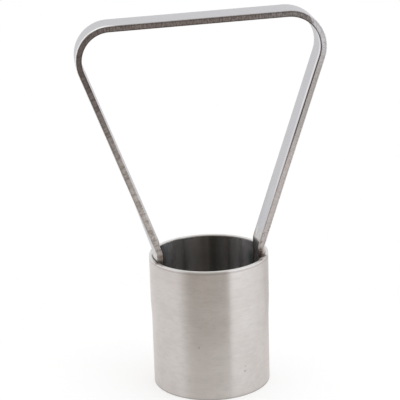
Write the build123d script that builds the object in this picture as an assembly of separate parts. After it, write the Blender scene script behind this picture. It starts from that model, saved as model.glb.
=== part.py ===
from build123d import *
import math
import os

# Tube, in millimetres
tube_outer_diameter = 38.1
tube_wall = 1.05
tube_height = 43.4
cutting_land = 0.35
cutting_bevel_height = 2.2
rim_outer_break = 0.3
rim_inner_break = 0.1

# Mouth of the tube, pushed slightly oval along X by the two ends of the handle
mouth_spread = 0.25
spread_fade = 6.0

# Flat strap that the handle is bent from, with its ends dished to fit the tube
strap_width = 11.4
strap_thickness = 2.0
strap_edge_break = 0.25
tab_length = 15.0
tab_seat_gap = 0.02
tab_bend_rise = 2.45
tab_bend_radius = 3.0
dish_fade = 22.0

# Handle outline, measured on the outer face of the strap along its long edges
grip_height = 121.15
grip_tilt = 2.0
left_leg_flare = 20.2
right_leg_flare = 18.4
left_grip_radius = 9.0
right_grip_radius = 9.6

# Weld beads in the four corners between the strap's edges and the tube's wall
bead_radius = 2.0
bead_sink = 0.2
bead_length = 9.0
bead_ripples = 6
bead_rim_gap = 0.1

tube_radius = tube_outer_diameter / 2
bore_radius = tube_radius - tube_wall
half_width = strap_width / 2
oval_base = tube_height - tab_length
fade_base = oval_base - spread_fade


def oval_half_width_x(radius):
    """Half the oval's width along X, for a round tube face of this radius."""
    return radius + mouth_spread


def oval_half_width_y(radius):
    """Half the oval's width along Y: the tube keeps its girth, so Y loses what X gains."""
    return radius - mouth_spread


def wall_x(radius, y):
    """X of the oval wall face at this distance from the handle's plane."""
    return oval_half_width_x(radius) * math.sqrt(1 - (y / oval_half_width_y(radius)) ** 2)


def tube_form(radius):
    """Solid of one face of the tube: round below, oval over the length of the tabs."""
    oval = Ellipse(oval_half_width_x(radius), oval_half_width_y(radius))
    round_part = extrude(Circle(radius), amount=fade_base)
    fade_part = loft([Plane.XY.offset(fade_base) * Circle(radius), Plane.XY.offset(oval_base) * oval])
    oval_part = extrude(Plane.XY.offset(oval_base) * oval, amount=tube_height - oval_base)
    return round_part + fade_part + oval_part


def make_tube():
    """Open thin-walled tube with a cutting edge ground from the inside at its foot."""
    tube = tube_form(tube_radius) - tube_form(bore_radius)
    bevel = Cone(
        tube_radius - cutting_land,
        bore_radius,
        cutting_bevel_height,
        align=(Align.CENTER, Align.CENTER, Align.MIN),
    )
    tube -= bevel
    inner_rim, outer_rim = tube.edges().filter_by_position(Axis.Z, tube_height, tube_height).sort_by(SortBy.LENGTH)
    tube = chamfer(outer_rim, rim_outer_break)
    return chamfer(inner_rim, rim_inner_break)


def crossing(start_a, angle_a, start_b, angle_b):
    """Point where two lines meet, each given by a point and an angle from X in degrees."""
    along_a = Vector(math.cos(math.radians(angle_a)), math.sin(math.radians(angle_a)))
    along_b = Vector(math.cos(math.radians(angle_b)), math.sin(math.radians(angle_b)))
    between = Vector(start_b) - Vector(start_a)
    reach = between.cross(along_b).Z / along_a.cross(along_b).Z
    return Vector(start_a) + along_a * reach


def strap_section(bulge):
    """Strap's cross-section: width along X, thickness below the outer face, which bows up by the bulge."""
    left, right, drop = -half_width, half_width, strap_thickness
    if bulge:
        outer = ThreePointArc((left, 0), (0, bulge), (right, 0))
        inner = ThreePointArc((right, -drop), (0, bulge - drop), (left, -drop))
    else:
        outer = Line((left, 0), (right, 0))
        inner = Line((right, -drop), (left, -drop))
    face = make_face([outer, Line(outer @ 1, inner @ 0), inner, Line(inner @ 1, outer @ 0)])
    return fillet(face.vertices(), strap_edge_break)


class Leg:
    """Where one leg of the handle runs, on side -1 or 1, in the plane of the handle."""

    def __init__(self, side, flare):
        self.side = side
        self.flare = flare
        self.angle = 90 - side * flare
        self.tab_x = wall_x(bore_radius, half_width) - tab_seat_gap
        self.bend_reach = tab_bend_radius * math.tan(math.radians(flare / 2))
        self.corner = Vector(side * self.tab_x, tube_height + tab_bend_rise)
        self.bend_start = self.corner - Vector(0, self.bend_reach)

    def above_bend(self, reach):
        """Point on the outer face this far up the leg from the end of its bend."""
        along = Vector(math.cos(math.radians(self.angle)), math.sin(math.radians(self.angle)))
        return self.corner + along * (self.bend_reach + reach)

    def square_plane(self, point, angle):
        """Plane across the strap at a point: X across the strap's width, Y out of its outer face."""
        along = Vector(math.cos(math.radians(angle)), 0, math.sin(math.radians(angle)))
        return Plane(origin=(point.X, 0, point.Y), x_dir=(0, -self.side, 0), z_dir=along)


def make_foot(leg):
    """One end of the strap: dished tab in the tube, its bend, and the dish fading out up the leg."""
    bulge = wall_x(bore_radius, 0) - wall_x(bore_radius, half_width)
    start = leg.square_plane(leg.bend_start, 90) * strap_section(bulge)
    tab = extrude(start, amount=oval_base - leg.bend_start.Y)
    bend_centre = (leg.side * (leg.tab_x + tab_bend_radius), 0, leg.bend_start.Y)
    bend = revolve(start, Axis(bend_centre, (0, leg.side, 0)), leg.flare)
    fade = loft([
        leg.square_plane(leg.above_bend(0), leg.angle) * strap_section(bulge),
        leg.square_plane(leg.above_bend(dish_fade), leg.angle) * strap_section(0),
    ])
    return tab + bend + fade


def make_handle():
    """One strap bent into a wide grip, with both dished ends turned down into the tube."""
    left_leg = Leg(-1, left_leg_flare)
    right_leg = Leg(1, right_leg_flare)
    bar = (0, grip_height)
    route = FilletPolyline(
        left_leg.above_bend(dish_fade),
        crossing(left_leg.corner, left_leg.angle, bar, grip_tilt),
        crossing(right_leg.corner, right_leg.angle, bar, grip_tilt),
        right_leg.above_bend(dish_fade),
        radius=[left_grip_radius + strap_thickness, right_grip_radius + strap_thickness],
    )
    start = left_leg.square_plane(left_leg.above_bend(dish_fade), left_leg.angle) * strap_section(0)
    grip = sweep(start, path=Plane.XZ * route)
    return grip + make_foot(left_leg) + make_foot(right_leg)


def make_bead(side_x, side_y):
    """Rippled weld bead in one corner between an edge of the strap and the bore of the tube."""
    axis_x = side_x * (wall_x(bore_radius, half_width) + bead_sink)
    axis_y = side_y * (half_width - bead_sink)
    top = tube_height - bead_rim_gap - bead_radius
    pitch = (bead_length - 2 * bead_radius) / (bead_ripples - 1)
    drops = Part()
    for ripple in range(bead_ripples):
        drops += Pos(axis_x, axis_y, top - ripple * pitch) * Sphere(bead_radius)
    beyond_strap = Pos(axis_x, side_y * (half_width + bead_radius), tube_height / 2) * Box(
        4 * bead_radius, 2 * bead_radius, tube_height
    )
    return drops & beyond_strap & tube_form(bore_radius)


parts = {"corer_tube": make_tube(), "handle": make_handle()}
for side_x, side_name in ((-1, "left"), (1, "right")):
    for side_y, edge_name in ((-1, "front"), (1, "back")):
        parts[f"weld_{side_name}_{edge_name}"] = make_bead(side_x, side_y)

os.makedirs("parts", exist_ok=True)
for name, part in parts.items():
    export_step(part, f"parts/{name}.step")
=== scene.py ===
import math

import bpy
from mathutils import Matrix, Vector


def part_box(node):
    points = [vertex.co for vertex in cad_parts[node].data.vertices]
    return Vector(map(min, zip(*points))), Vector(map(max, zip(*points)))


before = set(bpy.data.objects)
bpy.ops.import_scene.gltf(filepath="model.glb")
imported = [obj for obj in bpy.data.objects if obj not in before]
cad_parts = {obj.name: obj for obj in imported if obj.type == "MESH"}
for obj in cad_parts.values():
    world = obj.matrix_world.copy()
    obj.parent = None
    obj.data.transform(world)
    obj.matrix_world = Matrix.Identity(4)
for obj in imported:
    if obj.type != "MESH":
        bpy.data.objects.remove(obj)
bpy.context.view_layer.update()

# Camera, from the photograph's outline: angles in degrees, places in metres, sensor and lens in millimetres
camera_azimuth = math.radians(-6.317)
camera_elevation = math.radians(17.351)
camera_roll = math.radians(-1.737)
camera_distance = 0.491768
camera_target = Vector((-0.002272, 0.0, 0.06137))
camera_sensor = 36.0
camera_lens = 138.445

# Places on the object that the frame gives, in millimetres
millimetres = 1000.0
_, tube_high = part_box("corer_tube")
_, handle_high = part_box("handle")
bead_low, bead_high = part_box("weld_right_back")
tube_radius = tube_high.y * millimetres
tube_height = tube_high.z * millimetres
half_strap = handle_high.y * millimetres
bar_height = handle_high.z * millimetres
bead_x = (bead_low.x + bead_high.x) / 2 * millimetres
bead_y = (bead_low.y + bead_high.y) / 2 * millimetres

# Sizes of the tube and the strap that the frame doesn't give, in millimetres and degrees
tube_wall = 1.05
mouth_spread = 0.25
strap_thickness = 2.0
tab_bend_rise = 2.45
bar_middle_z = 121.15
bar_tilt = 2.0
left_leg_flare = 20.2
right_leg_flare = 18.4
left_grip_radius = 9.0
right_grip_radius = 9.6

# Outer face of the handle: a point and an angle from X for each straight length, and the bends between them
bore_radius = tube_radius - tube_wall
leg_foot_x = (bore_radius + mouth_spread) * math.sqrt(1 - (half_strap / (bore_radius - mouth_spread)) ** 2)
leg_foot_z = tube_height + tab_bend_rise
left_leg = ((-leg_foot_x, leg_foot_z), math.radians(90 + left_leg_flare))
bar = ((0.0, bar_middle_z), math.radians(bar_tilt))
right_leg = ((leg_foot_x, leg_foot_z), math.radians(-90 - right_leg_flare))
left_bend_radius = left_grip_radius + strap_thickness
right_bend_radius = right_grip_radius + strap_thickness

# Left bend: its middle along X, and how far from there its wide painted highlight reaches, in millimetres
left_bend_x = -36.5
wide_shine_reach = (12.5, 5.0)

# Half the width over which the handle's left turns into its right, where its feet end and its bar starts
changeover = 1.0
upright_end_z = tube_height + 10.0
bar_start_z = (bar_height - 10.0, bar_height - 9.0)

# Marks on the tube: each with its centre and radius in millimetres, and each tint with its colour
pits = (((-6.02, -18.07, 18.04), 0.5), ((8.67, -16.96, 8.46), 0.6), ((8.9, -16.8, 10.1), 0.4))
rim_smudge = ((15.25, -9.6, tube_height), 1.5)
heat_tints = (
    ((15.1, 9.8, 37.2), 2.6, (0.20, 0.33, 0.35)),
    ((16.7, 6.6, 38.0), 1.8, (0.42, 0.24, 0.22)),
)

# Edges of the tube's finishes and its painted shade, in millimetres: across its wall, and up or down its
# height
bore_fade = (bore_radius + 0.3, bore_radius + 0.5)
rim_fade_z = (tube_height - 0.42, tube_height - 0.28)
under_rim_z = (tube_height - 1.2, tube_height - 0.8, tube_height - 0.5, tube_height - 0.35)
foot_contact_shade_z = (0.25, 0.6)
bore_shadow_z = (tube_height - 1.0, tube_height - 9.0)

# Weld heat: its reach in millimetres and how many times as far it climbs, from where, and how ragged it is
tube_heat = (2.6, 2.0)
handle_heat = (3.2, 3.0)
heat_climb_z = tube_height - 1.0
heat_raggedness = 2.4

# Soot on the feet, in millimetres: how far it climbs on each side and at the back, and where it fades
soot_climbs = (0.4, 1.0)
soot_back_y = (0.0, 4.0)
soot_back_climb = 3.5
soot_outer_depth = (0.0, 1.4)
soot_inner_depth = (1.6, 2.0)

# End of the dark edge at the right bend, a painted reflection boundary: its place, and how far it leans
# right for each millimetre up or in
dark_edge_end_x = (29.0, 31.4)
dark_edge_end_z = 118.0
dark_edge_raggedness = 7.0
dark_edge_lean_up = 0.6
dark_edge_lean_in = 2.8

# Stretches over which the handle's finish and its painted light and shade change, in millimetres from one
# place to the next
bar_turns_grey_x = (8.0, 26.0)
left_bend_darkens_x = (-27.0, -40.0)
left_leg_brightens_z = (106.0, 52.0)
right_bend_pales_z = (101.0, 112.0)
right_leg_brightens_z = (92.0, 74.0)
coarse_marks_z = (116.0, 96.0)
# Where the thin corner lines of burr and painted shade grow and fade
left_line_z = (78.0, 104.0)
right_line_z = (62.0, 90.0)
right_line_foot_z = (46.0, 56.0)
right_line_top_z = (110.0, 117.0)
line_shift_z = (60.0, 85.0)
# Where the inner face's painted shade and its lip's painted highlight grow and fade
inner_face_shade_z = (72.0, 58.0)
lip_brightens_z = (84.0, 94.0)
lip_foot_z = (52.0, 64.0)
foot_specks_z = (tube_height + 15.0, tube_height + 7.0)
# Where the feet's painted highlights, painted reflection streaks and painted gap shade lie
foot_streak_reflection_z = (tube_height + 15.0, tube_height + 5.0)
foot_highlight_z = (tube_height + 10.0, tube_height + 2.0)
foot_soot_z = (tube_height + 2.7, tube_height + 0.3)
foot_gap_shade_z = (tube_height + 0.65, tube_height + 0.35)
crevice_shade_z = (tube_height + 0.9, tube_height - 0.2)

# Edges of the strap's finishes and of its painted highlights and shade, in millimetres below its outer
# face, and from its middle or its near edge
outer_line_depth = (0.75, 0.4)
inner_line_depths = (strap_thickness - 0.3, strap_thickness - 0.44)
inner_line_fade = 0.16
inner_face_depth = (strap_thickness - 0.2, strap_thickness - 0.05)
gap_shade_depth = (0.5, 0.3)
sheared_side = (half_strap - 0.26, half_strap - 0.12)
near_edge_y = -half_strap
lip_y = (near_edge_y + 2.7, near_edge_y + 1.9)
lip_corner_y = (near_edge_y + 0.9, near_edge_y + 0.35)
# Painted highlights along the outer corners
wide_shine_y = (near_edge_y + 1.2, near_edge_y + 0.8)
wide_shine_depth = (0.36, 0.22)
narrow_shine_side = (half_strap - 0.36, half_strap - 0.22)
narrow_shine_depth = (0.26, 0.12)

# Colours of the tube, as pairs where noise or a change of place mixes two
wall_colours = ((0.71, 0.667, 0.643), (0.725, 0.671, 0.643))
wall_ring_colour = (0.66, 0.61, 0.58)
wall_cloud_colour = (0.775, 0.733, 0.707)
wall_smear_colour = (0.61, 0.568, 0.542)
under_rim_colour = (0.42, 0.37, 0.38)
# Painted contact shade at the tube's foot
foot_contact_shade_colour = (0.36, 0.34, 0.33)
pit_colour = (0.25, 0.22, 0.20)
rim_colours = ((0.74, 0.72, 0.70), (0.88, 0.86, 0.84))
bore_shadow_colour = (0.05, 0.045, 0.045)

# Painted reflections and shade across the bore: where each colour starts and is full, in millimetres along
# X, and its colour
bore_middle_shade_colour = (0.20, 0.19, 0.175)
bore_painted_light_tones = (
    (3.5, -1.0, (0.60, 0.575, 0.54)),
    (-1.5, -4.5, (0.36, 0.345, 0.33)),
    (-6.0, -11.0, (0.92, 0.92, 0.93)),
    (5.0, 10.5, (0.40, 0.38, 0.365)),
    (9.0, 13.5, (0.98, 0.96, 0.97)),
)

# Colours of the handle's sheared edge, whose dark and bright tones are partly painted reflection
bar_dull_colours = ((0.165, 0.138, 0.134), (0.17, 0.155, 0.152))
bar_clean_colours = ((0.43, 0.372, 0.36), (0.50, 0.46, 0.455))
left_bend_colour = (0.10, 0.085, 0.08)
left_leg_colours = ((0.43, 0.375, 0.335), (0.79, 0.745, 0.73))
right_leg_colours = ((0.705, 0.678, 0.675), (0.815, 0.77, 0.77))
right_bend_colour = (0.90, 0.90, 0.955)
right_mark_colour = (0.42, 0.36, 0.34)
foot_speck_colour = (0.27, 0.23, 0.19)
# Thin lines along the sheared edge's corners: partly a burr, partly painted shade
edge_line_shade_colour = (0.085, 0.07, 0.068)

# Colours of the handle's rolled faces
face_colours = ((0.585, 0.575, 0.61), (0.55, 0.545, 0.57))
face_patch_colour = (0.57, 0.575, 0.58)
# Painted shade on the inner face's lower part, a painted highlight on its lip and painted shade in the
# corner at its near edge
inner_face_shade_colour = (0.525, 0.52, 0.515)
lip_highlight_colour = (0.86, 0.83, 0.85)
lip_corner_shade_colour = (0.30, 0.27, 0.27)
# Painted highlights outside the feet, streaks of painted reflection inside them and painted shade in the
# gap at the mouth
foot_highlight_colours = ((0.575, 0.565, 0.548), (0.78, 0.77, 0.75))
streak_reflection_colour = (0.40, 0.385, 0.38)
gap_shade_colour = (0.07, 0.07, 0.065)
# Painted shade where the sheared edge goes down into the tube
crevice_shade_colour = (0.10, 0.10, 0.085)

# Colours of heated steel, from the coolest to the hottest, and of the weld metal
straw_colour = (0.42, 0.33, 0.27)
brown_colour = (0.14, 0.095, 0.085)
black_colour = (0.05, 0.045, 0.04)
weld_colours = ((0.30, 0.27, 0.24), (0.52, 0.49, 0.46))

# Roughness of each finish, and depth of its grain in metres
wall_roughness = (0.31, 0.39)
bore_roughness = 0.20
face_roughness = 0.36
sheared_roughness = 0.60
shine_roughness = 0.28
weld_roughness = (0.3, 0.5)
ring_depth = 0.00003
sheared_depth = 0.00012
bead_depth = 0.0001

# Light tent: colours, azimuths in degrees from the front to the right, and heights from -1 to 1
white = (1.0, 1.0, 1.0)
tent_colour = (0.93, 0.93, 0.93)
key_colour = (1.14, 1.17, 1.19)
key_azimuths = (-20, 20, 60, 125)
opening_colours = ((0.385, 0.355, 0.31), (0.435, 0.405, 0.37))
opening_azimuths = (-72, -40, 27, 36)
opening_turn = (0, 25)
opening_top = (0.55, 0.85)
back_gap_colour = (0.70, 0.70, 0.70)
back_gap_azimuths = (112, 126, 146, 160)
back_gap_top = (-0.05, 0.15)

# Floor under the object: sizes in metres, and how much it glows towards the camera and in reflections
floor_radius = 0.10
floor_fade_start = 0.055
floor_sides = 96
floor_lift = 0.50
floor_reflected_lift = 0.39
floor_colours = ((0.58, 0.58, 0.58), (0.60, 0.60, 0.60))


class Graph:
    """Builds one node tree: a socket given as an input is linked, and a plain value is set."""

    def __init__(self, tree):
        self.tree = tree
        tree.nodes.clear()

    def put(self, made, key, value):
        """Gives one input of a node its link or its value."""
        if isinstance(value, bpy.types.NodeSocket):
            self.tree.links.new(value, made.inputs[key])
        else:
            made.inputs[key].default_value = value

    def node(self, kind, inputs=None, **settings):
        """A new node with its settings and its inputs."""
        made = self.tree.nodes.new(kind)
        for name, value in settings.items():
            setattr(made, name, value)
        for key, value in (inputs or {}).items():
            self.put(made, key, value)
        return made

    def math(self, operation, first, second=0.0, third=0.0):
        """One step of arithmetic on up to three numbers."""
        inputs = {0: first, 1: second, 2: third}
        return self.node("ShaderNodeMath", inputs, operation=operation).outputs[0]

    def times(self, first, *others):
        """Product of numbers."""
        for other in others:
            first = self.math("MULTIPLY", first, other)
        return first

    def ramp(self, value, low, high, start=0.0, end=1.0):
        """Eases from start to end while value goes from low to high."""
        inputs = {"Value": value, "From Min": low, "From Max": high, "To Min": start, "To Max": end}
        return self.node("ShaderNodeMapRange", inputs, interpolation_type="SMOOTHSTEP").outputs[0]

    def window(self, value, edges):
        """1 between the inner two of four edges, easing to 0 at the outer two."""
        first, second, third, fourth = edges
        return self.times(self.ramp(value, first, second), self.ramp(value, third, fourth, 1.0, 0.0))

    def mix(self, factor, first, second):
        """Goes from the first colour to the second."""
        made = self.node("ShaderNodeMix", {0: factor}, data_type="RGBA")
        for key, colour in ((6, first), (7, second)):
            self.put(made, key, (*colour, 1.0) if isinstance(colour, tuple) else colour)
        return made.outputs[2]

    def blend(self, factor, first, second):
        """Goes from the first number to the second."""
        return self.node("ShaderNodeMix", {0: factor, 2: first, 3: second}, data_type="FLOAT").outputs[0]

    def vector(self, first, second, third):
        """Three numbers as one vector."""
        return self.node("ShaderNodeCombineXYZ", {0: first, 1: second, 2: third}).outputs[0]

    def numbers(self, vector):
        """The three numbers of a vector."""
        return self.node("ShaderNodeSeparateXYZ", {0: vector}).outputs

    def scaled(self, vector, factors):
        """The vector with each of its numbers multiplied."""
        return self.node("ShaderNodeVectorMath", {0: vector, 1: factors}, operation="MULTIPLY").outputs[0]

    def length(self, vector):
        """The vector's length."""
        return self.node("ShaderNodeVectorMath", {0: vector}, operation="LENGTH").outputs["Value"]

    def noise(self, vector, scale=1.0, detail=2.0, roughness=0.5):
        """Smooth noise about 0.5."""
        inputs = {"Vector": vector, "Scale": scale, "Detail": detail, "Roughness": roughness}
        return self.node("ShaderNodeTexNoise", inputs).outputs[0]

    def ragged(self, vector, width, **settings):
        """Noise spread evenly about 0 over this width."""
        return self.math("MULTIPLY_ADD", self.noise(vector, **settings), width, -width / 2)

    def bump(self, height, strength, distance):
        """Bends the normal by a height that is distance metres where it is 1."""
        inputs = {"Height": height, "Strength": strength, "Distance": distance}
        return self.node("ShaderNodeBump", inputs).outputs[0]

    def spot(self, point, centre, radius):
        """1 at a centre, easing to 0 at the radius from it."""
        distance = self.node("ShaderNodeVectorMath", {0: point, 1: centre}, operation="DISTANCE")
        return self.ramp(distance.outputs["Value"], radius * 0.4, radius, 1.0, 0.0)

    def point(self):
        """The point on the object, in millimetres."""
        return self.scaled(self.node("ShaderNodeTexCoord").outputs["Object"], (millimetres,) * 3)


def new_material(name):
    """An empty node material and its graph."""
    material = bpy.data.materials.new(name)
    material.use_nodes = True
    return material, Graph(material.node_tree)


def metal(g, colour, roughness, normal, **others):
    """Metal shader and the material's output."""
    inputs = {"Base Color": colour, "Metallic": 1.0, "Roughness": roughness, "Normal": normal, **others}
    shader = g.node("ShaderNodeBsdfPrincipled", inputs)
    g.node("ShaderNodeOutputMaterial", {"Surface": shader.outputs[0]})


def heat(g, point, reach, climb):
    """1 at the four welds, fading raggedly to 0 at this reach, or climb times as far upwards."""
    mirrored = g.node("ShaderNodeVectorMath", {0: point}, operation="ABSOLUTE").outputs[0]
    x, y, z = g.numbers(mirrored)
    across = g.math("SUBTRACT", x, bead_x)
    aside = g.math("SUBTRACT", y, bead_y)
    above = g.math("MAXIMUM", g.math("SUBTRACT", z, heat_climb_z), 0.0)
    away = g.length(g.vector(across, aside, g.times(above, 1 / climb)))
    ragged = g.ragged(point, heat_raggedness, scale=1.3, detail=3.0)
    return g.ramp(g.math("ADD", away, ragged), 0.35 * reach, reach, 1.0, 0.0)


def scorch(g, colour, amount):
    """Straw, then brown, then nearly black as the amount of heat rises."""
    colour = g.mix(g.ramp(amount, 0.0, 0.35, 0.0, 0.5), colour, straw_colour)
    colour = g.mix(g.ramp(amount, 0.3, 0.65), colour, brown_colour)
    return g.mix(g.ramp(amount, 0.6, 1.0), colour, black_colour)


def tube_wall_colour(g, point, z, rings, streaks):
    """Polished outer wall with faint rings, a few pits, a darker line below the rim and painted contact
    shade at the foot.
    """
    clouds = g.noise(point, scale=0.11, detail=3.0)
    smears = g.noise(g.scaled(point, (0.35, 0.35, 0.9)), detail=4.0, roughness=0.7)
    colour = g.mix(g.ramp(streaks, 0.35, 0.65), *wall_colours)
    colour = g.mix(g.ramp(rings, 0.35, 0.65, 0.0, 0.8), colour, wall_ring_colour)
    colour = g.mix(g.ramp(clouds, 0.35, 0.65, 0.0, 0.45), colour, wall_cloud_colour)
    colour = g.mix(g.ramp(smears, 0.45, 0.62, 0.0, 0.35), colour, wall_smear_colour)
    colour = g.mix(g.times(g.window(z, under_rim_z), 0.4), colour, under_rim_colour)
    # Painted contact shade: a darker line at the foot, where the tube stands on the floor
    colour = g.mix(g.ramp(z, *foot_contact_shade_z, 0.5, 0.0), colour, foot_contact_shade_colour)
    for centre, radius in pits:
        colour = g.mix(g.times(g.spot(point, centre, radius), 0.35), colour, pit_colour)
    return colour


def bore_painted_light_colour(g, x, z, streaks):
    """Inside of the tube with painted reflections and shade: darkest just right of its middle, brightest at
    both sides and the mouth.
    """
    colour = bore_middle_shade_colour
    for start, end, tone in bore_painted_light_tones:
        colour = g.mix(g.ramp(x, start, end), colour, tone)
    colour = g.mix(g.ramp(streaks, 0.58, 0.42, 0.0, 0.18), colour, bore_shadow_colour)
    return g.mix(g.ramp(z, *bore_shadow_z, 0.0, 0.3), colour, bore_shadow_colour)


def tube_heat_colour(g, point, colour, rim, inside):
    """The tube's colour with soot and heat tints by the welds and the smudge on the rim."""
    hot = g.times(heat(g, point, *tube_heat), g.math("MAXIMUM", inside, g.times(rim, 0.6)))
    smudge = g.times(g.spot(point, *rim_smudge), g.ramp(g.noise(point, scale=2.5), 0.4, 0.6), 0.7)
    colour = scorch(g, colour, g.math("MAXIMUM", hot, smudge))
    for centre, radius, tint in heat_tints:
        colour = g.mix(g.times(g.spot(point, centre, radius), inside, 0.45), colour, tint)
    return colour


def tube_material():
    """Steel tube polished round its axis, with painted reflections and shade inside, and soot and tints by
    the welds.
    """
    material, g = new_material("tube_steel")
    point = g.point()
    x, _, z = g.numbers(point)
    rings = g.noise(g.scaled(point, (0.05, 0.05, 6.0)), detail=5.0, roughness=0.7)
    bands = g.noise(g.scaled(point, (0.04, 0.04, 0.8)))
    streaks = g.noise(g.scaled(point, (0.30, 0.30, 0.015)), detail=3.0)
    rim = g.ramp(z, *rim_fade_z)
    bore = g.ramp(g.length(g.scaled(point, (1.0, 1.0, 0.0))), *bore_fade, 1.0, 0.0)
    inside = g.times(bore, g.math("SUBTRACT", 1.0, rim))
    colour = tube_wall_colour(g, point, z, rings, streaks)
    colour = g.mix(rim, colour, g.mix(g.noise(point, scale=2.0), *rim_colours))
    # Inside the bore, the colour holds painted reflections and shade
    colour = g.mix(inside, colour, bore_painted_light_colour(g, x, z, streaks))
    colour = tube_heat_colour(g, point, colour, rim, inside)
    roughness = g.blend(inside, g.blend(bands, *wall_roughness), bore_roughness)
    normal = g.bump(rings, 0.35, ring_depth)
    tangent = g.node("ShaderNodeTangent", direction_type="RADIAL", axis="Z").outputs[0]
    polish = {"Anisotropic": 1.0, "Anisotropic Rotation": 0.25, "Tangent": tangent}
    metal(g, colour, roughness, normal, **polish)
    return material


def right_of(angle):
    """Direction to the right of one at this angle from X."""
    return Vector((math.sin(angle), -math.cos(angle)))


def line_depth(g, x, z, line):
    """Distance to the right of a straight length of the handle, looking along it."""
    start, angle = line
    inward = right_of(angle)
    offset = -inward.dot(Vector(start))
    return g.math("MULTIPLY_ADD", x, inward.x, g.math("MULTIPLY_ADD", z, inward.y, offset))


def bend_centre(lines, radius):
    """Centre of the bend between two lines: the radius to the right of both."""
    inward = [right_of(angle) for _, angle in lines]
    reaches = [side.dot(Vector(start)) + radius for side, (start, _) in zip(inward, lines)]
    return Matrix(inward).inverted() @ Vector(reaches)


def bend_depth(g, x, z, lines, radius, depth):
    """Replaces the depth where the strap bends from one line to the next."""
    centre = bend_centre(lines, radius)
    from_x = g.math("SUBTRACT", x, centre.x)
    from_z = g.math("SUBTRACT", z, centre.y)
    before, after = (
        g.math("MULTIPLY_ADD", from_x, math.cos(angle), g.times(from_z, math.sin(angle)))
        for _, angle in lines
    )
    within = g.times(g.math("GREATER_THAN", before, 0.0), g.math("LESS_THAN", after, 0.0))
    away = g.length(g.vector(from_x, 0.0, from_z))
    return g.blend(within, depth, g.math("SUBTRACT", radius, away))


def strap_depth(g, x, z):
    """Depth below the strap's outer face, all the way along the handle."""
    left, middle, right = (line_depth(g, x, z, line) for line in (left_leg, bar, right_leg))
    depth = g.math("MINIMUM", g.math("MINIMUM", left, middle), right)
    depth = bend_depth(g, x, z, (left_leg, bar), left_bend_radius, depth)
    depth = bend_depth(g, x, z, (bar, right_leg), right_bend_radius, depth)
    upright = g.math("SUBTRACT", leg_foot_x, g.math("ABSOLUTE", x))
    low_down = g.math("SUBTRACT", upright_end_z, z)
    return g.math("MAXIMUM", depth, g.math("MINIMUM", upright, low_down))


def strap_along(g, x, z, on_right):
    """How far a point lies along the strap, from a start of its own on each leg and on the bar."""
    on_bar = g.ramp(z, *bar_start_z)
    turns = []
    for turn in (math.cos, math.sin):
        on_leg = g.blend(on_right, turn(left_leg[1]), turn(right_leg[1]))
        turns.append(g.blend(on_bar, on_leg, turn(bar[1])))
    return g.math("MULTIPLY_ADD", x, turns[0], g.times(z, turns[1]))


class StrapPlace:
    """Where a point lies on the handle, in millimetres: in space, and on the strap that it is bent from."""

    def __init__(self, g):
        self.point = g.point()
        self.x, self.y, self.z = g.numbers(self.point)
        self.on_right = g.ramp(self.x, -changeover, changeover)
        self.along = strap_along(g, self.x, self.z, self.on_right)
        self.depth = strap_depth(g, self.x, self.z)
        self.side = g.math("ABSOLUTE", self.y)


def bar_edge_colour(g, at, marks):
    """Sheared edge of the bar: brown, greyer to the right and darker at the left bend."""
    grey = g.ramp(at.x, *bar_turns_grey_x)
    clean = g.ramp(marks, 0.34, 0.66)
    colour = g.mix(clean, g.mix(grey, *bar_dull_colours), g.mix(grey, *bar_clean_colours))
    return g.mix(g.ramp(at.x, *left_bend_darkens_x, 0.0, 0.35), colour, left_bend_colour)


def leg_edge_colour(g, at, marks):
    """Sheared edge of the legs: mottled on the left one, brighter and more even on the right one."""
    left = g.mix(g.ramp(marks, 0.36, 0.56), *left_leg_colours)
    right = g.mix(g.ramp(at.z, *right_leg_brightens_z), *right_leg_colours)
    right = g.mix(g.ramp(at.z, *right_bend_pales_z), right, right_bend_colour)
    right = g.mix(g.ramp(marks, 0.30, 0.55, 0.5, 0.0), right, right_mark_colour)
    return g.mix(at.on_right, left, right)


def edge_burr_shade_lines(g, at, bright):
    """How dark the thin lines on the sheared edge are, beside the outer face and beside the inner one:
    partly a burr, partly painted shade along the corners.
    """
    outer = g.times(g.ramp(at.depth, *outer_line_depth), g.blend(bright, 0.45, 0.14))
    right_level = g.times(
        g.ramp(at.z, *right_line_z, 0.38, 0.88),
        g.ramp(at.z, *right_line_foot_z, 0.3, 1.0),
        g.ramp(at.z, *right_line_top_z, 1.0, 0.65),
    )
    level = g.blend(at.on_right, g.ramp(at.z, *left_line_z, 0.0, 0.6), right_level)
    start = g.ramp(at.z, *line_shift_z, *inner_line_depths)
    inner = g.times(g.ramp(at.depth, start, g.math("ADD", start, inner_line_fade)), level)
    return g.math("MAXIMUM", inner, outer)


def strap_edge_colour(g, at, bright):
    """Rough sheared edge, dark on the bar and bright down the legs partly by painted reflection, with
    specks and thin dark lines of burr and painted shade.
    """
    across = g.times(at.depth, 0.8)
    fine = g.noise(g.vector(g.times(at.along, 2.2), across, 0.0), detail=4.0, roughness=0.75)
    across = g.times(at.depth, 0.25)
    coarse = g.noise(g.vector(g.times(at.along, 1.05), across, 3.0), detail=3.0, roughness=0.7)
    share = g.times(g.blend(at.on_right, 0.6, 0.3), g.ramp(at.z, *coarse_marks_z, 0.2, 1.0))
    marks = g.blend(share, fine, coarse)
    colour = g.mix(bright, bar_edge_colour(g, at, marks), leg_edge_colour(g, at, marks))
    specks = g.ramp(g.noise(at.point, scale=1.5), 0.57, 0.66)
    colour = g.mix(g.times(specks, g.ramp(at.z, *foot_specks_z), 0.6), colour, foot_speck_colour)
    # Thin corner lines: partly a burr, partly painted shade
    return g.mix(edge_burr_shade_lines(g, at, bright), colour, edge_line_shade_colour)


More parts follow.
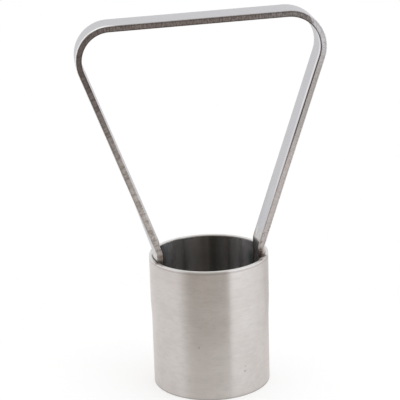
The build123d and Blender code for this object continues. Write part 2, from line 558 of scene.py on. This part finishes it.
def inner_face_colour(g, at, inner, colour):
    """Adds painted shade on the inner face's lower part, and a painted highlight on the lip and painted
    shade in the corner at its near edge.
    """
    # Painted shade on the lower part of the inner face
    colour = g.mix(g.times(inner, g.ramp(at.z, *inner_face_shade_z), 0.8), colour, inner_face_shade_colour)
    level = g.times(g.ramp(at.z, *lip_brightens_z, 0.48, 0.85), g.ramp(at.z, *lip_foot_z))
    # Painted highlight along the lip, then painted shade in the corner at the near edge
    colour = g.mix(g.times(inner, g.ramp(at.y, *lip_y), level), colour, lip_highlight_colour)
    return g.mix(g.times(inner, g.ramp(at.y, *lip_corner_y), 0.55), colour, lip_corner_shade_colour)


def foot_face_colour(g, at, inner, colour):
    """Adds light blotches outside the feet as painted highlights, dark streaks of painted reflection inside
    them and a line of painted shade in the gap at the mouth.
    """
    outside = g.math("SUBTRACT", 1.0, inner)
    # Light blotches: painted highlights on the outer face of the feet
    highlight_blotches = g.ramp(g.noise(at.point, scale=0.55, detail=3.0), 0.38, 0.66)
    foot = g.times(g.ramp(at.z, *foot_highlight_z), outside)
    colour = g.mix(foot, colour, g.mix(highlight_blotches, *foot_highlight_colours))
    # Dark streaks: painted reflection on the inner face of the feet
    reflection_streaks = g.noise(g.vector(g.times(at.along, 0.08), g.times(at.y, 1.1), 5.0), detail=3.0, roughness=0.7)
    streak_reflection = g.times(g.ramp(at.z, *foot_streak_reflection_z), inner, g.ramp(reflection_streaks, 0.52, 0.62))
    colour = g.mix(streak_reflection, colour, streak_reflection_colour)
    # Painted shade in the gap where the outer face meets the mouth
    return g.mix(g.times(g.ramp(at.z, *foot_gap_shade_z), g.ramp(at.depth, *gap_shade_depth)), colour, gap_shade_colour)


def strap_face_colour(g, at):
    """Satin rolled faces, with the inner one and the feet finished apart."""
    drawn = g.vector(g.times(at.along, 0.06), g.times(at.y, 2.5), at.depth)
    satin = g.noise(drawn, detail=4.0, roughness=0.6)
    patches = g.noise(at.point, scale=0.12)
    colour = g.mix(g.ramp(satin, 0.35, 0.65), *face_colours)
    colour = g.mix(g.ramp(patches, 0.40, 0.60, 0.0, 0.4), colour, face_patch_colour)
    inner = g.ramp(at.depth, *inner_face_depth)
    colour = inner_face_colour(g, at, inner, colour)
    return foot_face_colour(g, at, inner, colour)


def painted_edge_reflection(g, at):
    """1 where the sheared edge is bright, partly a painted reflection: past a ragged slant at the right
    bend, and down the left leg.
    """
    jagged = g.ragged(at.point, dark_edge_raggedness, scale=1.9, detail=3.0, roughness=0.75)
    above = g.math("SUBTRACT", at.z, dark_edge_end_z)
    slanted = g.math("MULTIPLY_ADD", above, -dark_edge_lean_up, g.math("ADD", at.x, jagged))
    slanted = g.math("MULTIPLY_ADD", at.depth, -dark_edge_lean_in, slanted)
    left_leg_part = g.times(g.ramp(at.z, *left_leg_brightens_z), g.ramp(at.x, changeover, -changeover))
    return g.math("MAXIMUM", g.ramp(slanted, *dark_edge_end_x), left_leg_part)


def painted_corner_highlight(g, at):
    """Painted highlight along the outer corners, wide on the near one at the left bend and faint elsewhere.
    """
    from_bend = g.math("ABSOLUTE", g.math("SUBTRACT", at.x, left_bend_x))
    wide = g.times(g.ramp(at.y, *wide_shine_y), g.ramp(at.depth, *wide_shine_depth))
    wide = g.times(wide, g.ramp(from_bend, *wide_shine_reach))
    narrow = g.times(g.ramp(at.side, *narrow_shine_side), g.ramp(at.depth, *narrow_shine_depth), 0.35)
    return g.math("MAXIMUM", wide, narrow)


def foot_soot(g, at):
    """Weld heat on the feet: it climbs higher at the back, and is faintest on the outer face."""
    behind = g.ramp(at.y, *soot_back_y, 0.0, soot_back_climb)
    climb = g.math("ADD", g.blend(at.on_right, *soot_climbs), behind)
    low_down = g.ramp(g.math("SUBTRACT", at.z, climb), *foot_soot_z)
    inward = g.times(
        g.ramp(at.depth, *soot_outer_depth, 0.2, 1.0),
        g.ramp(at.depth, *soot_inner_depth, 0.7, 0.5),
        g.blend(at.on_right, 0.75, 1.25),
    )
    patchy = g.ramp(g.noise(at.point, scale=2.2, detail=3.0, roughness=0.75), 0.32, 0.58, 0.3, 1.0)
    return g.times(heat(g, at.point, *handle_heat), low_down, inward, patchy)


def handle_material():
    """Satin strap with rough sheared edges, dark on the bar and brighter down the legs partly by painted
    reflection, with painted highlights and shade.
    """
    material, g = new_material("handle_steel")
    at = StrapPlace(g)
    sheared = g.ramp(at.side, *sheared_side)
    # The split of the sheared edge into dark and bright is partly painted reflection
    colour = g.mix(sheared, strap_face_colour(g, at), strap_edge_colour(g, at, painted_edge_reflection(g, at)))
    corner_highlight = painted_corner_highlight(g, at)
    # Painted highlight on the outer corners, mixed towards white
    colour = g.mix(corner_highlight, colour, white)
    colour = scorch(g, colour, foot_soot(g, at))
    # Painted shade on the sheared edge where it goes down into the tube
    crevice_shade = g.times(sheared, g.ramp(at.z, *crevice_shade_z), g.blend(at.on_right, 0.8, 0.4))
    colour = g.mix(crevice_shade, colour, crevice_shade_colour)
    roughness = g.blend(corner_highlight, g.blend(sheared, face_roughness, sheared_roughness), shine_roughness)
    grain = g.noise(g.vector(at.along, at.depth, at.y), scale=1.6, detail=3.0)
    metal(g, colour, roughness, g.bump(g.times(grain, sheared), 0.5, sheared_depth))
    return material


def weld_material():
    """Weld bead, darkened by its heat."""
    material, g = new_material("weld_metal")
    grain = g.noise(g.point(), scale=1.6, detail=4.0, roughness=0.6)
    colour = g.mix(g.ramp(grain, 0.35, 0.65), *weld_colours)
    metal(g, colour, g.ramp(grain, 0.3, 0.7, *weld_roughness), g.bump(grain, 0.4, bead_depth))
    return material


def floor_material():
    """Pale floor that shows as white, keeps the object's shadow and fades out at its edge."""
    material, g = new_material("floor")
    point = g.point()
    grain = g.noise(point, scale=0.02)
    matt = g.node("ShaderNodeBsdfDiffuse", {"Color": g.mix(grain, *floor_colours)})
    path = g.node("ShaderNodeLightPath")
    seen = g.times(path.outputs["Is Camera Ray"], floor_lift)
    lift = g.math("MULTIPLY_ADD", path.outputs["Is Glossy Ray"], floor_reflected_lift, seen)
    glow = g.node("ShaderNodeEmission", {"Strength": lift})
    both = g.node("ShaderNodeAddShader", {0: matt.outputs[0], 1: glow.outputs[0]})
    fade = g.ramp(g.length(point), floor_fade_start * millimetres, floor_radius * millimetres)
    clear = g.node("ShaderNodeBsdfTransparent")
    hidden = g.math("MAXIMUM", fade, g.node("ShaderNodeNewGeometry").outputs["Backfacing"])
    shader = g.node("ShaderNodeMixShader", {0: hidden, 1: both.outputs[0], 2: clear.outputs[0]})
    g.node("ShaderNodeOutputMaterial", {"Surface": shader.outputs[0]})
    return material


def make_floor():
    """Round floor under the object."""
    bpy.ops.mesh.primitive_circle_add(vertices=floor_sides, radius=floor_radius, fill_type="NGON")
    floor = bpy.context.object
    floor.name = "floor"
    floor.data.materials.append(floor_material())


def make_world():
    """White light tent, brightest at the right, dark in front and dimmer low at the back right."""
    world = bpy.data.worlds.new("tent")
    bpy.context.scene.world = world
    world.use_nodes = True
    g = Graph(world.node_tree)
    x, y, z = g.numbers(g.node("ShaderNodeTexCoord").outputs["Generated"])
    azimuth = g.math("ARCTAN2", x, g.math("MULTIPLY", y, -1.0))
    key, opening, back_gap = (
        g.window(azimuth, [math.radians(edge) for edge in azimuths])
        for azimuths in (key_azimuths, opening_azimuths, back_gap_azimuths)
    )
    around = g.mix(key, tent_colour, key_colour)
    around = g.mix(g.times(back_gap, g.ramp(z, *back_gap_top, 1.0, 0.0)), around, back_gap_colour)
    turn = g.ramp(azimuth, *[math.radians(edge) for edge in opening_turn])
    opening_colour = g.mix(turn, *opening_colours)
    around = g.mix(g.times(opening, g.ramp(z, *opening_top, 1.0, 0.0)), around, opening_colour)
    seen = g.node("ShaderNodeLightPath").outputs["Is Camera Ray"]
    background = g.node("ShaderNodeBackground", {"Color": g.mix(seen, around, white)})
    g.node("ShaderNodeOutputWorld", {"Surface": background.outputs[0]})


def make_camera():
    """Camera at the photograph's viewing angle."""
    back = Vector((
        math.sin(camera_azimuth) * math.cos(camera_elevation),
        -math.cos(camera_azimuth) * math.cos(camera_elevation),
        math.sin(camera_elevation),
    ))
    right = (-back).cross(Vector((0, 0, 1))).normalized()
    up = right.cross(-back)
    across = right * math.cos(camera_roll) + up * math.sin(camera_roll)
    upright = up * math.cos(camera_roll) - right * math.sin(camera_roll)
    data = bpy.data.cameras.new("camera")
    data.sensor_width = camera_sensor
    data.lens = camera_lens
    camera = bpy.data.objects.new("camera", data)
    bpy.context.scene.collection.objects.link(camera)
    turn = Matrix((across, upright, back)).transposed()
    camera.matrix_world = Matrix.Translation(camera_target + back * camera_distance) @ turn.to_4x4()
    bpy.context.scene.camera = camera


def finish_node(node, material):
    """Gives a CAD node its finish."""
    node.data.materials.clear()
    node.data.materials.append(material)


bpy.context.scene.view_settings.view_transform = "Standard"
make_camera()
make_world()
make_floor()
finish_node(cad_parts["corer_tube"], tube_material())
finish_node(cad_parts["handle"], handle_material())
weld = weld_material()
for name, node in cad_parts.items():
    if name.startswith("weld_"):
        finish_node(node, weld)
